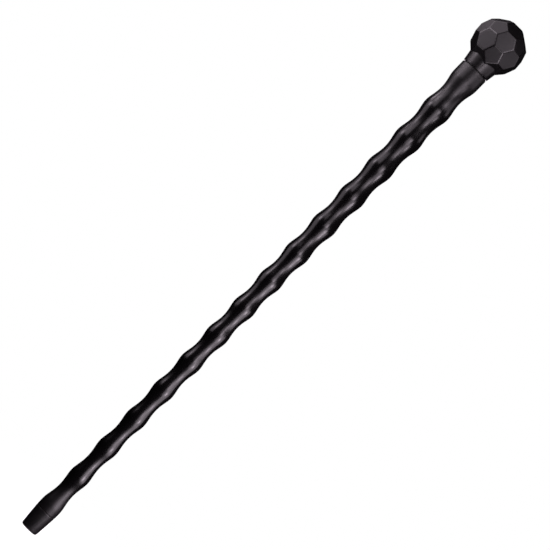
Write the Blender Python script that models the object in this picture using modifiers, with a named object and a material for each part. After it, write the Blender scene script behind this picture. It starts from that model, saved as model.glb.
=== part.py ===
"""Knobbed walking stick: faceted head, rippled shaft, hidden stud and rubber ferrule.

Upright, foot on z = 0, the stick's axis on Z. Metres. The hexagon at the front of the knob faces -Y.
"""

import math

import bmesh
import bpy
from mathutils import Vector

MM = 0.001

# Whole stick
LENGTH = 943 * MM
GAP = 0.3 * MM
SEGMENTS = 40
SMOOTH_ANGLE = math.radians(30)
MERGE_DISTANCE = 0.01 * MM
CUT_OVERRUN = 2 * MM

# Knob: a ball of pentagons and hexagons, with a pentagon on top
BALL_R = 38.7 * MM
BALL_BLANK = 4 * BALL_R
FACET_EDGE_ROUND = 0.45 * MM
FACET_EDGE_SEGMENTS = 2
FACET_EDGE_ANGLE = math.radians(15)
NECK_FACET_ELEVATION = math.radians(-48.3)
NECK_FACET_DISTANCE = 36.95 * MM

# Collar, part of the head moulding
COLLAR_DROP = 44.9 * MM
COLLAR_FOOT_R = 21.3 * MM
COLLAR_TAPER = 0.155
COLLAR_HIDDEN_TOP = 18 * MM
COLLAR_EDGE = 0.35 * MM

# Groove between head and shaft
RECESS_R = 20.2 * MM
RECESS_WALL = 0.9 * MM
RECESS_CHAMFER = 0.9 * MM

# Shaft: bulges counted from the head, with half a wave of plain shoulder above the first
BULGES = 15
FIRST_BULGE_Z = 787 * MM
BULGE_PITCH = 53.1 * MM
PITCH_SWING = 4.3 * MM
STEPS_PER_WAVE = 8
RIPPLE = 1.68 * MM
RIPPLE_GAIN_PER_M = 0.42 * MM
RIPPLE_MID_Z = 450 * MM
PEAK_SHARPNESS = 0.077

# Shaft: mean radius, plain in the lower third and tapering evenly above it
LOWER_R = 12.9 * MM
TAPER = 0.011
TAPER_START_Z = 290 * MM
TAPER_BLEND = 110 * MM
FOOT_SWELL = 1.07 * MM
FOOT_SWELL_REACH = 35 * MM
FOOT_STEPS = 3

# Ferrule, its sole and the spigot that it is pushed on
FERRULE_TOP_Z = 33.6 * MM
FERRULE_TOP_R = 15.45 * MM
FERRULE_TAPER = 2.0 * MM
FERRULE_BARREL = 0.35 * MM
FERRULE_STEPS = 6
SOLE_ROUND = 3.0 * MM
SOLE_ROUND_STEPS = 5
SOLE_THICKNESS = 8.5 * MM
TREAD_DEPTH = 1.0 * MM
TREAD_GROOVES = ((7.4 * MM, 8.6 * MM), (3.9 * MM, 5.1 * MM))
SPIGOT_R = 9.5 * MM
SPIGOT_LEAD = 1.0 * MM
WASHER_R = 9.2 * MM
WASHER_HOLE_R = 3.2 * MM
WASHER_THICKNESS = 1.5 * MM

# Stud, M10, half in the head and half in the shaft
STUD_R = 5.0 * MM
STUD_LENGTH = 60 * MM
STUD_CHAMFER = 1.0 * MM
STUD_SEGMENTS = 24
DRILL_POINT = 2.5 * MM

# Facet geometry of a ball with 12 pentagons and 20 hexagons
ROOT5 = math.sqrt(5)
FACET_EDGE = BALL_R * 4 / math.sqrt(58 + 18 * ROOT5)
PENTAGON_DISTANCE = FACET_EDGE * math.sqrt((125 + 41 * ROOT5) / 10) / 2
HEXAGON_DISTANCE = FACET_EDGE * math.sqrt(3) * (3 + ROOT5) / 4
PENTAGON_ELEVATION = math.atan(1 / 2)
HEXAGON_HIGH = math.atan((3 + ROOT5) / 4)
HEXAGON_LOW = math.atan((3 - ROOT5) / 4)

# Heights that follow from the dimensions above
BALL_Z = LENGTH - PENTAGON_DISTANCE
HEAD_FOOT_Z = BALL_Z - COLLAR_DROP
SHAFT_TOP_Z = HEAD_FOOT_Z - GAP
STUD_MID_Z = SHAFT_TOP_Z + GAP / 2
BORE_R = STUD_R + GAP
BORE_REACH = STUD_LENGTH / 2 + GAP
WASHER_Z = SOLE_THICKNESS + GAP
SPIGOT_END_Z = WASHER_Z + WASHER_THICKNESS + GAP

POLYPROPYLENE = ("black_polypropylene", (0.012, 0.011, 0.012), 0.48, 0.0)
RUBBER = ("black_rubber", (0.016, 0.016, 0.016), 0.8, 0.0)
STEEL = ("zinc_plated_steel", (0.58, 0.58, 0.56), 0.35, 1.0)


def clear_scene():
    for obj in list(bpy.data.objects):
        bpy.data.objects.remove(obj)


def new_collection(name):
    collection = bpy.data.collections.new(name)
    bpy.context.scene.collection.children.link(collection)
    return collection


def material(spec):
    name, colour, roughness, metallic = spec
    found = bpy.data.materials.get(name)
    if found:
        return found
    made = bpy.data.materials.new(name)
    made.use_nodes = True
    shader = made.node_tree.nodes["Principled BSDF"]
    shader.inputs["Base Color"].default_value = (*colour, 1)
    shader.inputs["Roughness"].default_value = roughness
    shader.inputs["Metallic"].default_value = metallic
    made.diffuse_color = (*colour, 1)
    return made


def new_object(name, mesh, collection):
    obj = bpy.data.objects.new(name, mesh)
    collection.objects.link(obj)
    return obj


def make_guide(obj):
    obj.hide_render = True
    obj.display_type = "WIRE"


def bake_modifiers(obj):
    """Keep what the modifiers make, shaded smooth with its corners sharp."""
    evaluated = obj.evaluated_get(bpy.context.evaluated_depsgraph_get())
    obj.data = bpy.data.meshes.new_from_object(evaluated)
    obj.data.name = obj.name
    obj.modifiers.clear()
    obj.data.shade_smooth()
    obj.data.set_sharp_from_angle(angle=SMOOTH_ANGLE)


def turned(name, profile, collection, closed=False, segments=SEGMENTS):
    """A solid turned round Z from (radius, z) points that run down its outer side."""
    mesh = bpy.data.meshes.new(name)
    points = [(radius, 0, z) for radius, z in profile]
    edges = [(i, i + 1) for i in range(len(points) - 1)]
    if closed:
        edges.append((len(points) - 1, 0))
    mesh.from_pydata(points, edges, [])
    obj = new_object(name, mesh, collection)
    screw = obj.modifiers.new("turn", "SCREW")
    screw.axis = "Z"
    screw.steps = segments
    screw.render_steps = segments
    screw.use_merge_vertices = True
    screw.merge_threshold = MERGE_DISTANCE
    bpy.context.view_layer.update()
    bake_modifiers(obj)
    return obj


def direction(azimuth, elevation):
    """Unit vector; azimuth 0 faces -Y and grows towards +X."""
    flat = math.cos(elevation)
    return Vector((math.sin(azimuth) * flat, -math.cos(azimuth) * flat, math.sin(elevation)))


def facet_planes():
    """Outward normal and distance from the ball's centre of every facet, ring by ring from the top."""
    fifth = math.tau / 5
    rings = (
        (HEXAGON_HIGH, 0, HEXAGON_DISTANCE),
        (PENTAGON_ELEVATION, fifth / 2, PENTAGON_DISTANCE),
        (HEXAGON_LOW, 0, HEXAGON_DISTANCE),
        (-HEXAGON_LOW, fifth / 2, HEXAGON_DISTANCE),
        (-PENTAGON_ELEVATION, 0, PENTAGON_DISTANCE),
        (NECK_FACET_ELEVATION, fifth / 2, NECK_FACET_DISTANCE),
    )
    planes = [(Vector((0, 0, 1)), PENTAGON_DISTANCE), (Vector((0, 0, -1)), PENTAGON_DISTANCE)]
    for elevation, first_azimuth, distance in rings:
        for step in range(5):
            planes.append((direction(first_azimuth + step * fifth, elevation), distance))
    return planes


def faceted_ball(name, collection):
    """A cube cut down by each facet's plane in turn, its edges then rounded a little."""
    shape = bmesh.new()
    bmesh.ops.create_cube(shape, size=BALL_BLANK)
    for normal, distance in facet_planes():
        everything = shape.verts[:] + shape.edges[:] + shape.faces[:]
        cut = bmesh.ops.bisect_plane(
            shape,
            geom=everything,
            dist=MERGE_DISTANCE,
            plane_co=normal * distance,
            plane_no=normal,
            clear_outer=True,
        )
        rim = [item for item in cut["geom_cut"] if isinstance(item, bmesh.types.BMEdge)]
        if rim:
            bmesh.ops.edgeloop_fill(shape, edges=rim)
    bmesh.ops.recalc_face_normals(shape, faces=shape.faces[:])
    bmesh.ops.translate(shape, verts=shape.verts[:], vec=(0, 0, BALL_Z))
    mesh = bpy.data.meshes.new(name)
    shape.to_mesh(mesh)
    shape.free()
    ball = new_object(name, mesh, collection)
    rounding = ball.modifiers.new("facet_edges", "BEVEL")
    rounding.width = FACET_EDGE_ROUND
    rounding.segments = FACET_EDGE_SEGMENTS
    rounding.limit_method = "ANGLE"
    rounding.angle_limit = FACET_EDGE_ANGLE
    return ball


def collar_profile():
    """The cone under the ball, which starts hidden inside it."""
    hidden_z = BALL_Z - COLLAR_HIDDEN_TOP
    hidden_r = COLLAR_FOOT_R + COLLAR_TAPER * (COLLAR_DROP - COLLAR_HIDDEN_TOP)
    return [
        (0, hidden_z),
        (hidden_r, hidden_z),
        (COLLAR_FOOT_R, HEAD_FOOT_Z + COLLAR_EDGE),
        (COLLAR_FOOT_R - COLLAR_EDGE, HEAD_FOOT_Z),
        (0, HEAD_FOOT_Z),
    ]


def head_bore_profile():
    """The blind hole up into the head that takes the stud, with a drilled point."""
    top = STUD_MID_Z + BORE_REACH
    mouth = HEAD_FOOT_Z - CUT_OVERRUN
    return [(0, top + DRILL_POINT), (BORE_R, top), (BORE_R, mouth), (0, mouth)]


def make_head(parts, cutters):
    head = faceted_ball("head", parts)
    collar = turned("collar_guide", collar_profile(), cutters)
    bore = turned("head_bore_cutter", head_bore_profile(), cutters, segments=STUD_SEGMENTS)
    for guide, operation in ((collar, "UNION"), (bore, "DIFFERENCE")):
        make_guide(guide)
        boolean = head.modifiers.new(guide.name, "BOOLEAN")
        boolean.operation = operation
        boolean.solver = "EXACT"
        boolean.object = guide
    bpy.context.view_layer.update()
    bake_modifiers(head)
    head.data.materials.append(material(POLYPROPYLENE))
    return head


def mean_radius(z):
    """The shaft without its ripple: plain below, an even taper above, a small swell at the foot."""
    taper = TAPER * TAPER_BLEND * math.log1p(math.exp((z - TAPER_START_Z) / TAPER_BLEND))
    swell = FOOT_SWELL * math.exp(-(((z - bulge_height(BULGES - 1)) / FOOT_SWELL_REACH) ** 2))
    return LOWER_R + taper + swell


def bulge_height(count):
    """Height at a count of waves below the first bulge: wider apart at both ends, closer in the middle."""
    swing = PITCH_SWING * math.sin(math.tau * count / (BULGES - 1))
    return FIRST_BULGE_Z - BULGE_PITCH * count - swing


def shaft_point(count):
    """Radius and height of the rippled outline: a cosine whose peaks are a little sharper than its necks."""
    z = bulge_height(count)
    wave = math.cos(math.tau * count) + PEAK_SHARPNESS * (math.cos(2 * math.tau * count) - 1)
    ripple = RIPPLE + RIPPLE_GAIN_PER_M * (z - RIPPLE_MID_Z)
    return mean_radius(z) + ripple * wave, z


def shaft_profile():
    """From the stud's hole over the shoulder, down the ripples and the spigot to the axis."""
    shoulder_r = shaft_point(-1)[0]
    bore_end = STUD_MID_Z - BORE_REACH
    chamfer_z = SHAFT_TOP_Z - RECESS_WALL
    top = [
        (0, bore_end - DRILL_POINT),
        (BORE_R, bore_end),
        (BORE_R, SHAFT_TOP_Z),
        (RECESS_R, SHAFT_TOP_Z),
        (RECESS_R, chamfer_z),
        (shoulder_r, chamfer_z - RECESS_CHAMFER),
    ]
    ripples = [shaft_point(-1 + step / STEPS_PER_WAVE) for step in range(BULGES * STEPS_PER_WAVE + 1)]
    last_r, last_z = ripples[-1]
    foot = []
    for step in range(1, FOOT_STEPS + 1):
        share = step / FOOT_STEPS
        radius = last_r - (last_r - FERRULE_TOP_R) * share**2
        foot.append((radius, last_z - (last_z - FERRULE_TOP_Z) * share))
    spigot = [
        (SPIGOT_R, FERRULE_TOP_Z),
        (SPIGOT_R, SPIGOT_END_Z + SPIGOT_LEAD),
        (SPIGOT_R - SPIGOT_LEAD, SPIGOT_END_Z),
        (0, SPIGOT_END_Z),
    ]
    return top + ripples + foot + spigot


def make_shaft(parts):
    shaft = turned("shaft", shaft_profile(), parts)
    shaft.data.materials.append(material(POLYPROPYLENE))
    return shaft


def make_stud(parts):
    half = STUD_LENGTH / 2
    profile = [
        (0, STUD_MID_Z + half),
        (STUD_R - STUD_CHAMFER, STUD_MID_Z + half),
        (STUD_R, STUD_MID_Z + half - STUD_CHAMFER),
        (STUD_R, STUD_MID_Z - half + STUD_CHAMFER),
        (STUD_R - STUD_CHAMFER, STUD_MID_Z - half),
        (0, STUD_MID_Z - half),
    ]
    stud = turned("head_stud", profile, parts, segments=STUD_SEGMENTS)
    stud.data.materials.append(material(STEEL))
    return stud


def ferrule_radius(share):
    """Outer radius at a share of the way from the ferrule's top to its sole, a taper with a barrel bow."""
    return FERRULE_TOP_R - FERRULE_TAPER * share - FERRULE_BARREL * share**2


def ferrule_profile():
    """A cup with a thick sole, a rounded rim and rings cut in the tread."""
    top = FERRULE_TOP_Z - GAP
    bore = SPIGOT_R + GAP
    side = []
    for step in range(FERRULE_STEPS + 1):
        share = step / FERRULE_STEPS
        side.append((ferrule_radius(share), top - (top - SOLE_ROUND) * share))
    rim_r = side[-1][0]
    rim = []
    for step in range(1, SOLE_ROUND_STEPS + 1):
        turn = math.pi / 2 * step / SOLE_ROUND_STEPS
        rim.append((rim_r - SOLE_ROUND * (1 - math.cos(turn)), SOLE_ROUND * (1 - math.sin(turn))))
    tread = []
    for inner, outer in TREAD_GROOVES:
        tread += [(outer, 0), (outer, TREAD_DEPTH), (inner, TREAD_DEPTH), (inner, 0)]
    cup = [(0, SOLE_THICKNESS), (bore, SOLE_THICKNESS), (bore, top)]
    return cup + side + rim + tread + [(0, 0)]


def make_ferrule(parts):
    ferrule = turned("ferrule", ferrule_profile(), parts)
    ferrule.data.materials.append(material(RUBBER))
    return ferrule


def make_ferrule_washer(parts):
    profile = [
        (WASHER_HOLE_R, WASHER_Z + WASHER_THICKNESS),
        (WASHER_R, WASHER_Z + WASHER_THICKNESS),
        (WASHER_R, WASHER_Z),
        (WASHER_HOLE_R, WASHER_Z),
    ]
    washer = turned("ferrule_washer", profile, parts, closed=True, segments=STUD_SEGMENTS)
    washer.data.materials.append(material(STEEL))
    return washer


def main():
    clear_scene()
    parts = new_collection("knobbed_walking_stick")
    cutters = new_collection("cutters")
    make_head(parts, cutters)
    make_shaft(parts)
    make_stud(parts)
    make_ferrule(parts)
    make_ferrule_washer(parts)


main()
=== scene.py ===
# Knobbed walking stick: its visual model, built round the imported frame.
# The stick stands on z = 0 with its axis on Z, and the knob's front hexagon faces -Y.
# Lengths in the dictionaries are millimetres and angles are degrees.

import itertools
import math

import bmesh
import bpy
import numpy as np
from mathutils import Matrix, Vector


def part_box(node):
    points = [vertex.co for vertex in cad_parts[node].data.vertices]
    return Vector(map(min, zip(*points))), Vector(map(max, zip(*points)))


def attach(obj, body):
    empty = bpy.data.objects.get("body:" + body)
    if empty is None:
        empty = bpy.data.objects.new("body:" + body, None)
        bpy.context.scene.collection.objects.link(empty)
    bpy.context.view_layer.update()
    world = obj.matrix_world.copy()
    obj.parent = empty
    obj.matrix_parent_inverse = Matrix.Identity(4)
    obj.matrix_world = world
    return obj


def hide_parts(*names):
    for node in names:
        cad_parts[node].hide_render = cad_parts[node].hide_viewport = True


mm = 0.001
weldDistance = 0.002  # points nearer than this become one
smoothAngle = 30  # edges blunter than this shade smooth
arcSteps = 5  # steps round a rounded corner
tiny = 1e-6  # a smaller difference counts as none

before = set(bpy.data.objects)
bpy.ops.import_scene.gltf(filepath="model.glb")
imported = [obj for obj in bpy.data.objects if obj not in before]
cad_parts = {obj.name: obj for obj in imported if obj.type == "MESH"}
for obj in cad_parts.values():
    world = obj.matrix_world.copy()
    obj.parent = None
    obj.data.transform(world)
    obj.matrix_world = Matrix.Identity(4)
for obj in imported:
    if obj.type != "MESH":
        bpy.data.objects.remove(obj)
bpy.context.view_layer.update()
print("frame loaded:", ", ".join(sorted(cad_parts)))


# Lowest and highest z of a CAD node, in mm
def nodeSpan(name):
    low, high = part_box(name)
    return low.z / mm, high.z / mm


# Half the width of a CAD node, in mm
def nodeRadius(name):
    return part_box(name)[1].x / mm


headFoot, headTop = nodeSpan("head")
shaftFoot, shaftTop = nodeSpan("shaft")
ferruleTop = nodeSpan("ferrule")[1]
gap = headFoot - shaftTop

# Meshes


# Corners (radius, z, rounding) of an outline become points, each rounded corner an arc of its own radius
# tangent to both sides: its centre lies on the bisector at rounding / sin(half angle)
def rounded(corners):
    path = []
    for before, corner, after in zip([corners[0]] + corners[:-1], corners, corners[1:] + [corners[-1]]):
        here = np.array(corner[:2], float)
        if corner[2] == 0:
            path.append(here)
            continue
        back = np.array(before[:2]) - here
        ahead = np.array(after[:2]) - here
        back /= np.linalg.norm(back)
        ahead /= np.linalg.norm(ahead)
        half = math.acos(back @ ahead) / 2
        bisector = (back + ahead) / np.linalg.norm(back + ahead)
        centre = here + bisector * corner[2] / math.sin(half)
        reach = corner[2] / math.tan(half)
        first = here + back * reach - centre
        last = here + ahead * reach - centre
        swept = math.pi - 2 * half
        share = np.linspace(0, 1, arcSteps + 1)[:, None]
        arc = (first * np.sin((1 - share) * swept) + last * np.sin(share * swept)) / math.sin(swept)
        path.extend(centre + arc)
    return np.array(path)


# A profile of (radius, z) points turned round Z: (radius sin a, -radius cos a, z) over a whole turn of a
def turned(profile, columns):
    angle = np.arange(columns) * 2 * math.pi / columns
    radius, height = np.asarray(profile, float).T[:, :, None]
    return np.stack([radius * np.sin(angle), -radius * np.cos(angle), height + 0 * angle], axis=-1)


# Welds patches into one closed piece. A patch is (grid, worn): a grid of points in mm, rows by columns, that
# closes round its columns, and how worn each point is, 0 to 1. On the etched plastic the same value also
# paints the point paler, as a painted highlight
def buildPiece(name, patches, material, replaced):
    points, quads, wearAndSheen = [], [], []
    start = 0
    for grid, worn in patches:
        rows, columns = grid.shape[:2]
        index = start + np.arange(rows * columns).reshape(rows, columns)
        across = np.roll(index, -1, axis=1)
        quads.append(np.stack([index[:-1], index[1:], across[1:], across[:-1]], axis=-1).reshape(-1, 4))
        points.append(grid.reshape(-1, 3))
        wearAndSheen.append((worn + np.zeros((rows, columns))).ravel())
        start += rows * columns
    mesh = bpy.data.meshes.new(name)
    mesh.from_pydata((np.concatenate(points) * mm).tolist(), [], np.concatenate(quads).tolist())
    mesh.attributes.new("wearAndSheen", "FLOAT", "POINT").data.foreach_set("value", np.concatenate(wearAndSheen))
    surface = bmesh.new()
    surface.from_mesh(mesh)
    bmesh.ops.remove_doubles(surface, verts=surface.verts[:], dist=weldDistance * mm)
    surface.to_mesh(mesh)
    openEdges = sum(not edge.is_manifold for edge in surface.edges)
    surface.free()
    mesh.shade_smooth()
    mesh.set_sharp_from_angle(angle=math.radians(smoothAngle))
    mesh.materials.append(material)
    piece = bpy.data.objects.new(name, mesh)
    bpy.context.scene.collection.objects.link(piece)
    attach(piece, "root")
    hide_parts(replaced)
    print(f"{name}: {len(mesh.vertices)} points, {openEdges} open edges")


# Materials

noiseLow, noiseHigh = 0.3, 0.7  # a noise texture seldom leaves this range


# sRGB hex to a linear colour
def hexColour(text):
    channels = [int(text[start : start + 2], 16) / 255 for start in (1, 3, 5)]
    return [c / 12.92 if c <= 0.04045 else ((c + 0.055) / 1.055) ** 2.4 for c in channels] + [1]


# Adds a node with its settings; an input that is a socket is linked
def addNode(tree, kind, settings=None, **inputs):
    node = tree.nodes.new(kind)
    for name, value in (settings or {}).items():
        setattr(node, name, value)
    for name, value in inputs.items():
        socket = node.inputs[int(name[1:])] if name[0] == "i" and name[1:].isdigit() else node.inputs[name]
        if isinstance(value, bpy.types.NodeSocket):
            tree.links.new(value, socket)
        else:
            socket.default_value = value
    return node


# Scale of a noise texture whose patches are this many mm across
def noiseScale(size):
    return 1 / (size * mm)


# A new material with only its output and shader, and the object's own coordinates
def newMaterial(name, **shaderInputs):
    material = bpy.data.materials.new(name)
    material.use_nodes = True
    tree = material.node_tree
    shader = tree.nodes["Principled BSDF"]
    for socket, value in shaderInputs.items():
        shader.inputs[socket.replace("_", " ")].default_value = value
    place = addNode(tree, "ShaderNodeTexCoord").outputs["Object"]
    return material, tree, shader, place


plastic = {
    "colour": "#060506",
    "paintedEdgeSheen": "#0e0c0e",  # edges burnished smoother, and painted paler here as a highlight along them
    "ior": 1.49,
    "shaftRoughness": (0.25, 0.29),
    "crestRoughness": 0.21,
    "endRoughness": 0.5,
    # Height from which it is dullest, height where that has faded, and how far it goes to endRoughness
    "headEnd": (850, 770, 0.55),
    "footEnd": (62, 88, 0.8),
    "headRoughness": (0.28, 0.36),
    "wornRoughness": 0.16,
    "cloud": 9.0,
    "cloudDetail": 3.0,
    "grain": 0.55,
    "coarseGrain": 1.3,
    "grainDetail": 2.0,
    "grainDepth": 0.004,
    "headGrainDepth": 0.02,
}


# Black polypropylene, injection moulded against a blasted steel mould: a soft satin, a little glossier on the
# crests, where it rubs, and duller towards both ends, where its highlights go soft. The real grain is near
# 0.2 mm and is drawn coarser, so that it shows close up
def satinPolypropylene():
    material, tree, shader, place = newMaterial(
        "blackPolypropyleneBlastedMould",
        Base_Color=hexColour(plastic["colour"]),
        IOR=plastic["ior"],
    )
    cloud = addNode(
        tree,
        "ShaderNodeTexNoise",
        Vector=place,
        Scale=noiseScale(plastic["cloud"]),
        Detail=plastic["cloudDetail"],
    )
    low, high = plastic["shaftRoughness"]
    satin = addNode(
        tree, "ShaderNodeMapRange", i0=cloud.outputs[0], i1=noiseLow, i2=noiseHigh, i3=low, i4=high
    )
    worn = addNode(tree, "ShaderNodeAttribute", {"attribute_name": "wearAndSheen"}).outputs["Fac"]
    rubbed = addNode(
        tree,
        "ShaderNodeMix",
        {"data_type": "FLOAT"},
        i0=worn,
        i2=satin.outputs[0],
        i3=plastic["crestRoughness"],
    )
    height = addNode(tree, "ShaderNodeSeparateXYZ", Vector=place).outputs["Z"]
    dull = []
    for most, none, share in (plastic["headEnd"], plastic["footEnd"]):
        end = addNode(
            tree,
            "ShaderNodeMapRange",
            {"interpolation_type": "SMOOTHSTEP"},
            i0=height,
            i1=none * mm,
            i2=most * mm,
            i4=share,
        )
        dull.append(end.outputs[0])
    ends = addNode(tree, "ShaderNodeMath", {"operation": "ADD"}, i0=dull[0], i1=dull[1])
    roughness = addNode(
        tree,
        "ShaderNodeMix",
        {"data_type": "FLOAT"},
        i0=ends.outputs[0],
        i2=rubbed.outputs[0],
        i3=plastic["endRoughness"],
    )
    grain = addNode(
        tree,
        "ShaderNodeTexNoise",
        Vector=place,
        Scale=noiseScale(plastic["grain"]),
        Detail=plastic["grainDetail"],
    )
    bump = addNode(tree, "ShaderNodeBump", Height=grain.outputs[0], Distance=plastic["grainDepth"] * mm)
    tree.links.new(roughness.outputs[0], shader.inputs["Roughness"])
    tree.links.new(bump.outputs[0], shader.inputs["Normal"])
    return material


# The same polypropylene against an etched mould: matt and visibly grainy on the knob's facets and the collar,
# burnished smoother along their edges, where a paler colour is painted on as a highlight
def grainedPolypropylene():
    material, tree, shader, place = newMaterial("blackPolypropyleneEtchedMould", IOR=plastic["ior"])
    worn = addNode(tree, "ShaderNodeAttribute", {"attribute_name": "wearAndSheen"}).outputs["Fac"]
    # Painted highlight: along the worn edges the colour turns paler, standing in for the highlight lines
    # there
    colour = addNode(
        tree,
        "ShaderNodeMix",
        {"data_type": "RGBA"},
        i0=worn,
        i6=hexColour(plastic["colour"]),
        i7=hexColour(plastic["paintedEdgeSheen"]),
    )
    fine = addNode(
        tree,
        "ShaderNodeTexNoise",
        Vector=place,
        Scale=noiseScale(plastic["grain"]),
        Detail=plastic["grainDetail"],
    )
    coarse = addNode(
        tree,
        "ShaderNodeTexNoise",
        Vector=place,
        Scale=noiseScale(plastic["coarseGrain"]),
        Detail=plastic["grainDetail"],
    )
    grain = addNode(tree, "ShaderNodeMath", {"operation": "ADD"}, i0=fine.outputs[0], i1=coarse.outputs[0])
    low, high = plastic["headRoughness"]
    matt = addNode(
        tree, "ShaderNodeMapRange", i0=coarse.outputs[0], i1=noiseLow, i2=noiseHigh, i3=low, i4=high
    )
    roughness = addNode(
        tree,
        "ShaderNodeMix",
        {"data_type": "FLOAT"},
        i0=worn,
        i2=matt.outputs[0],
        i3=plastic["wornRoughness"],
    )
    bump = addNode(tree, "ShaderNodeBump", Height=grain.outputs[0], Distance=plastic["headGrainDepth"] * mm)
    tree.links.new(colour.outputs[2], shader.inputs["Base Color"])
    tree.links.new(roughness.outputs[0], shader.inputs["Roughness"])
    tree.links.new(bump.outputs[0], shader.inputs["Normal"])
    return material


rubber = {
    "colour": "#0b0a0b",
    "bloom": "#141314",
    "ior": 1.58,
    "roughness": (0.35, 0.42),
    "cloud": 6.0,
    "cloudDetail": 4.0,
    "grain": 0.5,
    "grainDetail": 2.0,
    "grainDepth": 0.01,
}


# Natural rubber, compression moulded: duller than the shaft, with a faint paler bloom in clouds
def mouldedRubber():
    material, tree, shader, place = newMaterial("naturalRubberMoulded", IOR=rubber["ior"])
    cloud = addNode(
        tree,
        "ShaderNodeTexNoise",
        Vector=place,
        Scale=noiseScale(rubber["cloud"]),
        Detail=rubber["cloudDetail"],
    )
    colour = addNode(
        tree,
        "ShaderNodeMix",
        {"data_type": "RGBA"},
        i0=cloud.outputs[0],
        i6=hexColour(rubber["colour"]),
        i7=hexColour(rubber["bloom"]),
    )
    low, high = rubber["roughness"]
    roughness = addNode(
        tree, "ShaderNodeMapRange", i0=cloud.outputs[0], i1=noiseLow, i2=noiseHigh, i3=low, i4=high
    )
    grain = addNode(
        tree,
        "ShaderNodeTexNoise",
        Vector=place,
        Scale=noiseScale(rubber["grain"]),
        Detail=rubber["grainDetail"],
    )
    bump = addNode(tree, "ShaderNodeBump", Height=grain.outputs[0], Distance=rubber["grainDepth"] * mm)
    tree.links.new(colour.outputs[2], shader.inputs["Base Color"])
    tree.links.new(roughness.outputs[0], shader.inputs["Roughness"])
    tree.links.new(bump.outputs[0], shader.inputs["Normal"])
    return material


zinc = {
    "colour": "#cfcfca",
    "duller": "#a9aaa6",
    "roughness": (0.22, 0.42),
    "cloud": 2.5,
    "cloudDetail": 4.0,
}


# Mild steel, thread rolled and bright zinc plated: silvery, with soft dull patches where the plating varies
def platedSteel():
    material, tree, shader, place = newMaterial("mildSteelZincPlated", Metallic=1.0)
    cloud = addNode(
        tree, "ShaderNodeTexNoise", Vector=place, Scale=noiseScale(zinc["cloud"]), Detail=zinc["cloudDetail"]
    )
    colour = addNode(
        tree,
        "ShaderNodeMix",
        {"data_type": "RGBA"},
        i0=cloud.outputs[0],
        i6=hexColour(zinc["colour"]),
        i7=hexColour(zinc["duller"]),
    )
    low, high = zinc["roughness"]
    roughness = addNode(
        tree, "ShaderNodeMapRange", i0=cloud.outputs[0], i1=noiseLow, i2=noiseHigh, i3=low, i4=high
    )
    tree.links.new(colour.outputs[2], shader.inputs["Base Color"])
    tree.links.new(roughness.outputs[0], shader.inputs["Roughness"])
    return material


# Head

stud = {
    "pitch": 1.5,
    "rootDepth": 0.92,
    "crestFlat": 0.125,  # share of the pitch, at the root as well
    "chamfer": 1.0,
    "rowsPerPitch": 8,
    "columns": 48,
    "clearance": 0.3,  # round the stud and past its ends
    "drillPoint": 2.5,  # the hole's cone past its end
}
studFoot, studTop = nodeSpan("head_stud")
studRadius = nodeRadius("head_stud")
boreRadius = studRadius + stud["clearance"]

knob = {
    "ballRadius": 38.7,  # centre to corner
    "neckElevation": -48.3,  # of the normals of the neck's facets
    "neckDistance": 36.95,  # centre to those facets
    "edgeSharpness": 130,
    "wearAndSheenSharpness": 90,
    "sideSteps": 16,
    "rimRows": (0, 0.15, 0.32, 0.52, 0.76, 1.08, 1.5, 2.2, 3.4, 6.0),  # in from a facet's sides
    "neckRows": 12,
}
perRing = 5  # facets in a ring round the knob
wholeFacets = 1 + 5 * perRing  # the top one and five rings; the sixth ring is the neck
neckCorners = 4  # upper corners of a neck facet, which the collar cuts off below
sameCorner = 7  # corners alike to this many decimals are one
upright = 0.9  # a facet whose normal rises or falls more than this lies nearly level

collar = {
    "footRadius": 21.3,
    "taper": 0.155,  # growth of the radius per mm of height
    "footRounding": 0.35,
    # How worn the collar's foot rounding is, which also paints it paler as a painted highlight
    "footWearAndSheen": 0.7,
    "rows": 6,
    "mouthRounding": 0.3,
}


# Unit vector: azimuth 0 faces -Y and grows towards +X
def outward(azimuth, elevation):
    azimuth, elevation = np.radians(azimuth), np.radians(elevation)
    flat = np.cos(elevation)
    return np.stack([np.sin(azimuth) * flat, -np.cos(azimuth) * flat, np.sin(elevation)], axis=-1)


# A ball of 12 pentagons and 20 hexagons with a pentagon on top, as planes n.x = d about its centre: the top,
# six rings of five from the top down, and the bottom. The last ring runs down to the collar
def ballPlanes():
    root5 = math.sqrt(5)
    side = knob["ballRadius"] * 4 / math.sqrt(58 + 18 * root5)
    pentagon = side * math.sqrt((125 + 41 * root5) / 10) / 2
    hexagon = side * math.sqrt(3) * (3 + root5) / 4
    steep, middle, shallow = np.degrees(np.arctan([(3 + root5) / 4, 1 / 2, (3 - root5) / 4]))
    apart = 360 / perRing
    between = apart / 2
    rings = np.array(
        [
            (steep, 0, hexagon),
            (middle, between, pentagon),
            (shallow, 0, hexagon),
            (-shallow, between, hexagon),
            (-middle, 0, pentagon),
            (knob["neckElevation"], between, knob["neckDistance"]),
        ]
    )
    azimuths = rings[:, 1, None] + apart * np.arange(perRing)
    normals = outward(azimuths, rings[:, :1] + 0 * azimuths).reshape(-1, 3)
    normals = np.vstack([[0, 0, 1], normals, [0, 0, -1]])
    distances = np.concatenate([[pentagon], np.repeat(rings[:, 2], perRing), [pentagon]])
    return normals, distances


# Every point where three facet planes meet and no other plane cuts it off
def ballCorners(normals, distances):
    trios = np.array(list(itertools.combinations(range(len(normals)), 3)))
    trios = trios[np.abs(np.linalg.det(normals[trios])) > tiny]
    points = np.linalg.solve(normals[trios], distances[trios][..., None])[..., 0]
    points = points[(points @ normals.T <= distances + tiny).all(axis=1)]
    return np.unique(points.round(sameCorner), axis=0)


# How near each point is to each facet's plane, 1 on it
def nearness(points, planes):
    normals, distances = planes
    return np.clip(points @ normals.T / distances, 0, None)


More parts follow.
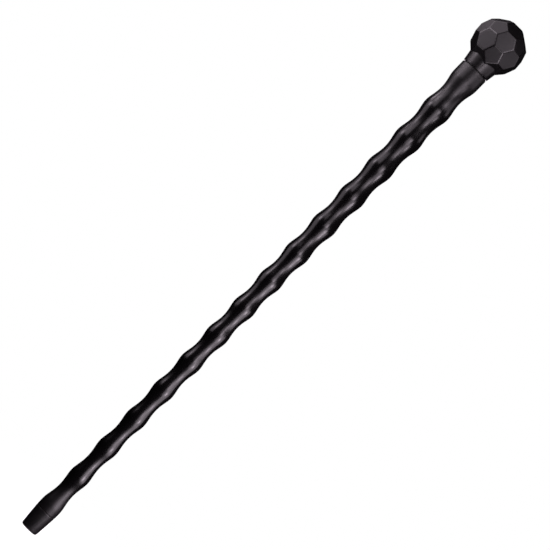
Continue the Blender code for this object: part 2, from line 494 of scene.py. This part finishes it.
# Rounds the ball's edges: each point is divided by (sum of nearness^p)^(1/p), which is 1 on a flat and a
# little more on an edge or a corner. A higher p is a crisper edge
def roundEdges(points, planes):
    power = knob["edgeSharpness"]
    return points / ((nearness(points, planes) ** power).sum(axis=-1) ** (1 / power))[..., None]


# 0 on a flat and 1 on an edge: what the other planes add to the nearest one's share. It marks the edges as
#                               worn smoother and as painted paler, a painted highlight
def edgeWearAndSheen(points, planes):
    share = nearness(points, planes) ** knob["wearAndSheenSharpness"]
    return np.clip(share.sum(axis=-1) / share.max(axis=-1) - 1, 0, 1)


# A facet's corners, anticlockwise seen from outside, starting at its rightmost one
def facetCorners(corners, normal, distance):
    own = corners[np.abs(corners @ normal - distance) < tiny]
    middle = own.mean(axis=0)
    sideways = np.cross([0, 0, 1] if abs(normal[2]) < upright else [0, 1, 0], normal)
    upwards = np.cross(normal, sideways)
    return own[np.argsort(np.arctan2((own - middle) @ upwards, (own - middle) @ sideways))]


# Points along the sides from corner to corner, closer together towards the corners: (1 - cos(pi t)) / 2
def alongSides(corners, following):
    share = (1 - np.cos(np.pi * np.arange(knob["sideSteps"]) / knob["sideSteps"])) / 2
    return (corners[:, None] + share[:, None] * (following - corners)[:, None]).reshape(-1, 3)


# A facet as a polar grid: rows run from its middle to its sides, middle + t (side - middle), and crowd
# towards the sides, where the surface bends
def facetPatch(corners, planes):
    sides = alongSides(corners, np.roll(corners, -1, axis=0))
    middle = corners.mean(axis=0)
    inradius = np.linalg.norm((corners[0] + corners[1]) / 2 - middle)
    rows = np.append(1 - np.array(knob["rimRows"]) / inradius, 0)[::-1]
    flat = middle + rows[:, None, None] * (sides - middle)
    return roundEdges(flat, planes), edgeWearAndSheen(flat, planes)


# The ring of neck facets from their upper sides down to the collar, in columns of one azimuth. On a facet
# n.x = d the radius at height z is (d - nz z) / (n.a), and the collar's is foot + taper (z - footZ), so the
# two meet at z = (d / n.a - foot + taper footZ) / (taper + nz / n.a)
def neckPatch(corners, planes, footZ):
    normals, distances = planes
    columns = []
    for normal in normals[wholeFacets : wholeFacets + perRing]:
        own = facetCorners(corners, normal, knob["neckDistance"])
        upper = own[np.argsort(-own[:, 2])[:neckCorners]]
        azimuth = (upper - own.mean(axis=0)) @ np.cross([0, 0, 1], normal)
        upper = upper[np.argsort(azimuth)]
        sides = alongSides(upper[:-1], upper[1:])
        radial = sides[:, :2] / np.linalg.norm(sides[:, :2], axis=1)[:, None]
        facing = radial @ normal[:2]
        lowest = (knob["neckDistance"] / facing - collar["footRadius"] + collar["taper"] * footZ) / (
            collar["taper"] + normal[2] / facing
        )
        share = np.linspace(0, 1, knob["neckRows"])[:, None] ** 2
        height = sides[:, 2] + share * (lowest - sides[:, 2])
        radius = (knob["neckDistance"] - normal[2] * height) / facing
        columns.append(np.concatenate([radius[..., None] * radial, height[..., None]], axis=-1))
    flat = np.concatenate(columns, axis=1)
    return roundEdges(flat, planes), edgeWearAndSheen(flat, planes)


# The cone under the ball, from the neck's last row down to its rounded foot, across the underside and up the
# stud's hole. Columns keep the neck's azimuths
def collarPatches(neckRow, footZ):
    radial = neckRow[:, :2] / np.linalg.norm(neckRow[:, :2], axis=1)[:, None]
    boreTop = studTop + stud["clearance"] - headCentre
    above = 5  # height of a point up the cone, which only gives the foot's corner its direction
    foot = rounded(
        [
            (collar["footRadius"] + collar["taper"] * above, footZ + above, 0),
            (collar["footRadius"], footZ, collar["footRounding"]),
            (boreRadius, footZ, collar["mouthRounding"]),
            (boreRadius, boreTop, 0),
            (0, boreTop + stud["drillPoint"], 0),
        ]
    )[1:]
    ring = np.concatenate([foot[:, None, :1] * radial, foot[:, None, 1:] + 0 * radial[:, :1]], axis=-1)
    share = np.linspace(0, 1, collar["rows"] + 1)[:, None, None]
    cone = neckRow + share * (ring[0] - neckRow)
    return [(cone, 0), (ring[: arcSteps + 1], collar["footWearAndSheen"]), (ring[arcSteps:], 0)]


planes = ballPlanes()
headCentre = headTop - planes[1][0]


# The whole facets, the neck and the collar, worked out about the ball's centre and then raised into place
def buildHead(material):
    corners = ballCorners(*planes)
    patches = []
    for normal, distance in list(zip(*planes))[:wholeFacets]:
        patches.append(facetPatch(facetCorners(corners, normal, distance), planes))
    footZ = headFoot - headCentre
    neck = neckPatch(corners, planes, footZ)
    patches.append(neck)
    patches.extend(collarPatches(neck[0][-1], footZ))
    raised = [(grid + np.array([0, 0, headCentre]), worn) for grid, worn in patches]
    buildPiece("knobAndCollar", raised, material, "head")


# Shaft

ripple = {
    "bulges": 15,
    "firstBulge": 787,  # its height, nearest to the head
    "pitch": 53.1,
    "pitchSwing": 4.3,
    "height": 1.68,  # half of crest to neck, at the height of the middle
    "heightGain": 0.00042,  # per mm above the middle
    "middle": 450,
    "peakSharpness": 0.077,
    "stepsPerWave": 24,
    "columns": 144,
}
girth = {
    "lower": 12.9,  # mean radius of the lower shaft
    "taper": 0.011,  # growth of the radius per mm of height, above taperStart
    "taperStart": 290,
    "taperBlend": 110,
    "footSwell": 1.07,
    "footSwellReach": 35,
    "footRows": 8,
}
recess = {"radius": 18.7, "wall": 0.9, "undercut": 0.1, "chamfer": 0.7, "rounding": 0.1}
spigot = {"radius": 9.5, "lead": 1.0, "shoulderRounding": 0.6}


# Height of a bulge, counted from the head: the pitch swings by a sine, wider at both ends of the shaft
def bulgeHeight(count):
    swing = ripple["pitchSwing"] * np.sin(2 * np.pi * count / (ripple["bulges"] - 1))
    return ripple["firstBulge"] - ripple["pitch"] * count - swing


# Radius without the ripple: constant below, an even taper above, ln(1 + e^x) between, and a swell at the foot
def meanRadius(z):
    blend = girth["taperBlend"]
    taper = girth["taper"] * blend * np.log1p(np.exp((z - girth["taperStart"]) / blend))
    fromFoot = (z - bulgeHeight(ripple["bulges"] - 1)) / girth["footSwellReach"]
    return girth["lower"] + taper + girth["footSwell"] * np.exp(-(fromFoot**2))


# The rippled outline, mean radius plus cos(t) + k (cos(2t) - 1), whose peaks are sharper than its necks, and
# how far each point is up its crest, 0 to 1
def rippleProfile():
    waves = ripple["bulges"]
    count = np.linspace(-1, waves - 1, waves * ripple["stepsPerWave"] + 1)
    z = bulgeHeight(count)
    phase = 2 * np.pi * count
    wave = np.cos(phase) + ripple["peakSharpness"] * (np.cos(2 * phase) - 1)
    height = ripple["height"] + ripple["heightGain"] * (z - ripple["middle"])
    return np.stack([meanRadius(z) + height * wave, z], axis=-1), (1 + np.cos(phase)) / 2


# From the stud's hole over the shoulder, down the ripples, in a parabola to the ferrule, and round the spigot
def buildShaft(material):
    ripples, crest = rippleProfile()
    shoulder = ripples[0, 0]
    boreFoot = studFoot - stud["clearance"]
    chamferTop = shaftTop - recess["wall"]
    top = rounded(
        [
            (0, boreFoot - stud["drillPoint"], 0),
            (boreRadius, boreFoot, 0),
            (boreRadius, shaftTop, collar["mouthRounding"]),
            (recess["radius"], shaftTop, recess["rounding"]),
            (recess["radius"], chamferTop - recess["undercut"], recess["rounding"]),
            (shoulder - recess["chamfer"], chamferTop, recess["rounding"]),
            (shoulder, chamferTop - recess["chamfer"], recess["rounding"]),
            (shoulder, ripples[0, 1], 0),
        ]
    )[:-1]
    ferruleSeat = ferruleTop + gap
    share = np.linspace(0, 1, girth["footRows"] + 1)[1:]
    lastRadius, lastZ = ripples[-1]
    foot = np.stack(
        [
            lastRadius - (lastRadius - nodeRadius("ferrule")) * share**2,
            lastZ - (lastZ - ferruleSeat) * share,
        ],
        axis=-1,
    )
    end = rounded(
        [
            (foot[-2, 0], foot[-2, 1], 0),
            (foot[-1, 0], foot[-1, 1], spigot["shoulderRounding"]),
            (spigot["radius"], ferruleSeat, 0),
            (spigot["radius"], shaftFoot + spigot["lead"], 0),
            (spigot["radius"] - spigot["lead"], shaftFoot, 0),
            (0, shaftFoot, 0),
        ]
    )[1:]
    profile = np.concatenate([top, ripples, foot[:-1], end])
    worn = np.concatenate([0 * top[:, 0], crest, 0 * foot[:-1, 0], 0 * end[:, 0]])
    grid = turned(profile, ripple["columns"])
    buildPiece("rippledShaft", [(grid, worn[:, None])], material, "shaft")


# Stud

# M10 thread, right handed: the radius at height z and angle a follows a flattened triangle wave of
# z / pitch - a / turn, held in by a cone at each end
def buildStud(material):
    rows = round((studTop - studFoot) / stud["pitch"] * stud["rowsPerPitch"])
    z = np.linspace(studTop, studFoot, rows + 1)[:, None]
    angle = np.arange(stud["columns"]) * 2 * np.pi / stud["columns"]
    phase = (z / stud["pitch"] - angle / (2 * np.pi)) % 1
    flat = stud["crestFlat"]
    crest = np.clip((2 * np.abs(phase - 0.5) - flat) / (1 - 2 * flat), 0, 1)
    radius = studRadius - stud["rootDepth"] * (1 - crest)
    fromEnd = np.minimum(studTop - z, z - studFoot)
    radius = np.minimum(radius, studRadius - stud["chamfer"] + fromEnd)
    grid = np.stack([radius * np.sin(angle), -radius * np.cos(angle), z + 0 * angle], axis=-1)
    ends = np.zeros((2, stud["columns"], 3))
    ends[:, :, 2] = [[studTop], [studFoot]]
    grid = np.concatenate([ends[:1], grid, ends[1:]])
    buildPiece("threadedStud", [(grid, 0)], material, "head_stud")


# Ferrule

ferrule = {
    "taper": 2.0,
    "barrel": 0.35,
    "sideLean": 0.01,  # nearly upright where the side meets the sole's rounding
    "sideRows": 28,
    "soleRounding": 3.0,
    "soleThickness": 8.5,
    "treadDepth": 1.0,
    "treadGrooves": ((7.4, 8.6), (3.9, 5.1)),  # inner and outer radius
    "grooveRounding": 0.2,
    "lipRounding": 0.7,
    "columns": 144,
}


# A cup: its side is a taper with a barrel bow, top - taper t - barrel t^2, and two ring grooves cut its sole
def buildFerrule(material):
    topRadius = nodeRadius("ferrule")
    bore = spigot["radius"] + gap
    share = np.linspace(0, 1, ferrule["sideRows"])
    radius = topRadius - ferrule["taper"] * share - ferrule["barrel"] * share**2
    side = np.stack([radius, ferruleTop - (ferruleTop - ferrule["soleRounding"]) * share], axis=-1)
    inside = rounded(
        [
            (0, ferrule["soleThickness"], 0),
            (bore, ferrule["soleThickness"], 0),
            (bore, ferruleTop, ferrule["lipRounding"]),
            (topRadius, ferruleTop, ferrule["lipRounding"]),
            (side[1, 0], side[1, 1], 0),
        ]
    )[:-1]
    sole = [
        (radius[-1] + ferrule["sideLean"], ferrule["soleRounding"] * 2, 0),
        (radius[-1], 0, ferrule["soleRounding"]),
    ]
    depth = ferrule["treadDepth"]
    for inner, outer in ferrule["treadGrooves"]:
        for edge, z in ((outer, 0), (outer, depth), (inner, depth), (inner, 0)):
            sole.append((edge, z, ferrule["grooveRounding"]))
    sole.append((0, 0, 0))
    profile = np.concatenate([inside, side[1:-1], rounded(sole)[1:]])
    grid = turned(profile, ferrule["columns"])
    buildPiece("rubberFerrule", [(grid, 0)], material, "ferrule")


washer = {"holeRadius": 3.2, "edgeRounding": 0.2, "columns": 96}


# A stamped disc with a hole: its section is a rectangle with softened corners, turned round the axis
def buildWasher(material):
    low, high = nodeSpan("ferrule_washer")
    outer = nodeRadius("ferrule_washer")
    hole, soft = washer["holeRadius"], washer["edgeRounding"]
    middle = (hole + outer) / 2
    profile = rounded(
        [
            (middle, high, 0),
            (outer, high, soft),
            (outer, low, soft),
            (hole, low, soft),
            (hole, high, soft),
            (middle, high, 0),
        ]
    )
    grid = turned(profile, washer["columns"])
    buildPiece("ferruleDisc", [(grid, 0)], material, "ferrule_washer")


satin = satinPolypropylene()
grained = grainedPolypropylene()
steel = platedSteel()
buildHead(grained)
buildShaft(satin)
buildStud(steel)
buildFerrule(mouldedRubber())
buildWasher(steel)
print("pieces built")

# Camera, floor and light

photo = {
    "size": 550,  # pixels, as the two points below
    "knobTop": (517.3, 27.0),
    "footTip": (28.5, 528.9),
    "distance": 3700,
    "azimuth": -4.7,
    "sensor": 36,
    "clipEnd": 100000,
}


# Square on to the middle of the stick, rolled so that the stick lies across the frame as in the photo, with
# the lens that makes the stick as long there: sensor x distance x its pixels / (frame's pixels x its length)
def addCamera():
    knobTop, footTip = np.array(photo["knobTop"]), np.array(photo["footTip"])
    along = knobTop - footTip
    pixels = np.linalg.norm(along)
    lean = math.atan2(along[0], -along[1])
    data = bpy.data.cameras.new("camera")
    data.sensor_width = photo["sensor"]
    data.lens = photo["sensor"] * photo["distance"] * pixels / (photo["size"] * headTop)
    data.clip_end = photo["clipEnd"] * mm
    toCamera = Vector(outward(photo["azimuth"], 0))
    stickUp = Vector((0, 0, 1))
    stickRight = stickUp.cross(toCamera)
    pictureUp = stickUp * math.cos(lean) - stickRight * math.sin(lean)
    pictureRight = stickUp * math.sin(lean) + stickRight * math.cos(lean)
    middle = (knobTop + footTip) / 2 - photo["size"] / 2
    perPixel = headTop / pixels
    target = stickUp * headTop / 2 - pictureRight * middle[0] * perPixel + pictureUp * middle[1] * perPixel
    camera = bpy.data.objects.new("camera", data)
    axes = Matrix((pictureRight, pictureUp, toCamera)).transposed().to_4x4()
    camera.matrix_world = Matrix.Translation((target + toCamera * photo["distance"]) * mm) @ axes
    bpy.context.scene.collection.objects.link(camera)
    bpy.context.scene.camera = camera


# Soft boxes by name: azimuth from the camera's side and positive to its right, height above the floor,
# distance from the stick's axis, width, how tall, and watts. Height and distance are of the box's middle
softBoxes = {
    "left": (-80, 600, 375, 265, 535, 0.58),
    "lowRight": (57, 230, 415, 385, 460, 1.68),
    "right": (36, 320, 715, 515, 595, 1.93),
    "frontRight": (18, 690, 560, 350, 325, 0.70),
    "highLeft": (-92, 1175, 280, 690, 470, 1.35),
    "high": (40, 1065, 280, 425, 215, 0.40),
    "shoulder": (46, 862, 140, 130, 30, 0.015),
    "upperLeft": (-55, 985, 635, 620, 320, 1.02),
    "spotRight": (27, 735, 1400, 380, 380, 2.0),
    "spotLow": (52, 150, 1400, 380, 290, 3.2),
    "spotLeft": (-75, 830, 1400, 320, 320, 1.7),
    "edgeLeft": (-70, 1040, 400, 130, 130, 0.37),
    "edgeRight": (33, 1000, 280, 120, 120, 0.20),
    "edgeLow": (-98, 930, 380, 110, 110, 0.20),
    "side": (86, 890, 300, 125, 130, 0.06),
    "back": (180, 480, 700, 320, 900, 1.3),
    "foot": (62, 60, 300, 260, 115, 0.1),
    "under": (0, -700, 0, 900, 900, 9.0),
}
boxColour = "#fff1fd"  # faintly magenta, as the photo's greys are


# Each box faces the stick's axis at its own height, or the end of the stick that it is past
def addSoftBoxes():
    for name, (azimuth, height, distance, width, tall, watts) in softBoxes.items():
        data = bpy.data.lights.new(name, "AREA")
        data.shape = "RECTANGLE"
        data.size = width * mm
        data.size_y = tall * mm
        data.energy = watts
        data.color = hexColour(boxColour)[:3]
        place = Vector(outward(photo["azimuth"] + azimuth, 0)) * distance
        place.z = height
        aim = Vector((0, 0, min(max(height, 0), headTop)))
        facing = (place - aim).to_track_quat("Z", "Y").to_matrix().to_4x4()
        lamp = bpy.data.objects.new(name, data)
        lamp.matrix_world = Matrix.Translation(place * mm) @ facing
        lamp.visible_camera = False
        bpy.context.scene.collection.objects.link(lamp)


sweep = {
    "colour": "#f4f4f2",
    "bounce": "#2c2c2c",
    "size": 12000,
    "drop": 0.2,  # below the sole
    "window": 12.5,  # radius
    "shadowReach": 250,
    "shadowDepth": 0.12,
}


# A white floor. For the camera it glows at white, but round the foot the last part of that white comes from
# the lamps, so the stick's shadow shows there; that part is shadowDepth e^-((r / shadowReach)^2). Everything
# else sees the floor dim, as the photographed stick shows no pale floor in its own gloss. Seen from below it
# is clear and lets the sole show, and a round window under the foot lets the lamp below light the sole
def addFloor():
    bpy.ops.mesh.primitive_plane_add(size=sweep["size"] * mm, location=(0, 0, -sweep["drop"] * mm))
    floor = bpy.context.object
    floor.name = "floor"
    material = bpy.data.materials.new("whiteSweep")
    material.use_nodes = True
    tree = material.node_tree
    tree.nodes.remove(tree.nodes["Principled BSDF"])
    place = addNode(tree, "ShaderNodeTexCoord").outputs["Object"]
    reach = addNode(tree, "ShaderNodeVectorMath", {"operation": "LENGTH"}, Vector=place).outputs["Value"]
    scaled = addNode(tree, "ShaderNodeMath", {"operation": "DIVIDE"}, i0=reach, i1=sweep["shadowReach"] * mm)
    squared = addNode(tree, "ShaderNodeMath", {"operation": "POWER"}, i0=scaled.outputs[0], i1=2.0)
    fading = addNode(tree, "ShaderNodeMath", {"operation": "MULTIPLY"}, i0=squared.outputs[0], i1=-1.0)
    near = addNode(tree, "ShaderNodeMath", {"operation": "EXPONENT"}, i0=fading.outputs[0])
    shaded = addNode(
        tree, "ShaderNodeMath", {"operation": "MULTIPLY"}, i0=near.outputs[0], i1=sweep["shadowDepth"]
    )
    strength = addNode(tree, "ShaderNodeMath", {"operation": "SUBTRACT"}, i0=1.0, i1=shaded.outputs[0])
    glow = addNode(tree, "ShaderNodeEmission", Color=(1, 1, 1, 1), Strength=strength.outputs[0])
    matt = addNode(tree, "ShaderNodeBsdfDiffuse", Color=hexColour(sweep["colour"]))
    none = addNode(tree, "ShaderNodeBsdfTransparent", Color=(0, 0, 0, 1))
    lit = addNode(tree, "ShaderNodeMixShader", i0=near.outputs[0], i1=none.outputs[0], i2=matt.outputs[0])
    shown = addNode(tree, "ShaderNodeAddShader", i0=glow.outputs[0], i1=lit.outputs[0])
    dull = addNode(tree, "ShaderNodeBsdfDiffuse", Color=hexColour(sweep["bounce"]))
    path = addNode(tree, "ShaderNodeLightPath")
    front = addNode(
        tree, "ShaderNodeMixShader", i0=path.outputs["Is Camera Ray"], i1=dull.outputs[0], i2=shown.outputs[0]
    )
    under = addNode(tree, "ShaderNodeNewGeometry").outputs["Backfacing"]
    window = addNode(tree, "ShaderNodeMath", {"operation": "LESS_THAN"}, i0=reach, i1=sweep["window"] * mm)
    unseen = addNode(tree, "ShaderNodeMath", {"operation": "MAXIMUM"}, i0=under, i1=window.outputs[0])
    clear = addNode(tree, "ShaderNodeBsdfTransparent")
    both = addNode(
        tree, "ShaderNodeMixShader", i0=unseen.outputs[0], i1=front.outputs[0], i2=clear.outputs[0]
    )
    tree.links.new(both.outputs[0], tree.nodes["Material Output"].inputs["Surface"])
    floor.data.materials.append(material)


studio = {"white": 1.0, "dimWalls": 0.01}


# White for the camera. Everything else sees the dim walls of the studio, which keeps the stick's dark bands
def addWorld():
    world = bpy.data.worlds.new("studio")
    world.use_nodes = True
    tree = world.node_tree
    seen = addNode(tree, "ShaderNodeLightPath").outputs["Is Camera Ray"]
    strength = addNode(
        tree, "ShaderNodeMix", {"data_type": "FLOAT"}, i0=seen, i2=studio["dimWalls"], i3=studio["white"]
    )
    tree.links.new(strength.outputs[0], tree.nodes["Background"].inputs["Strength"])
    tree.nodes["Background"].inputs["Color"].default_value = (1, 1, 1, 1)
    bpy.context.scene.world = world


addCamera()
addSoftBoxes()
addFloor()
addWorld()
bpy.context.scene.view_settings.view_transform = "Standard"
print("camera, soft boxes, floor and world placed")
